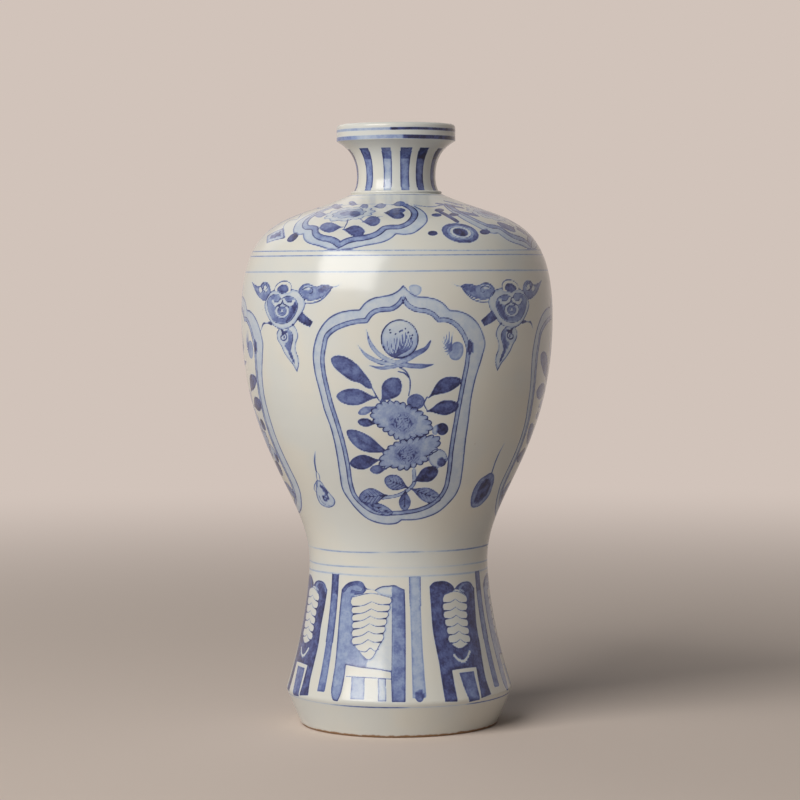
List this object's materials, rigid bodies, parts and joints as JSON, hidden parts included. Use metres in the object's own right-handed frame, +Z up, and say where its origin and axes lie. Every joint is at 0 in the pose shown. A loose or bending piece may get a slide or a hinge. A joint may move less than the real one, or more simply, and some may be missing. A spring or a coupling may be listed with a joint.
{
  "type": "meiping vase",
  "caption": "Tall porcelain vase with a narrow mouth, broad shoulders, a slim waist and a spreading skirt foot, painted in blue under a clear glaze.",
  "frame": {"origin": "centre of the foot ring, on the surface that the vase stands on", "axes": "+Z up along the vase's axis, -Y towards the front painted panel"},
  "size_m": [0.156, 0.156, 0.3003],
  "materials": {
    "glazed_porcelain": "gloss",
    "luting_slip": "satin"
  },
  "bodies": {
    "root": {"base_disc": "glazed_porcelain", "skirt": "glazed_porcelain", "lower_body": "glazed_porcelain", "upper_body": "glazed_porcelain", "neck_and_mouth": "glazed_porcelain", "base_luting": "luting_slip", "waist_luting": "luting_slip", "belly_luting": "luting_slip", "neck_luting": "luting_slip"}
  },
  "joints": []
}
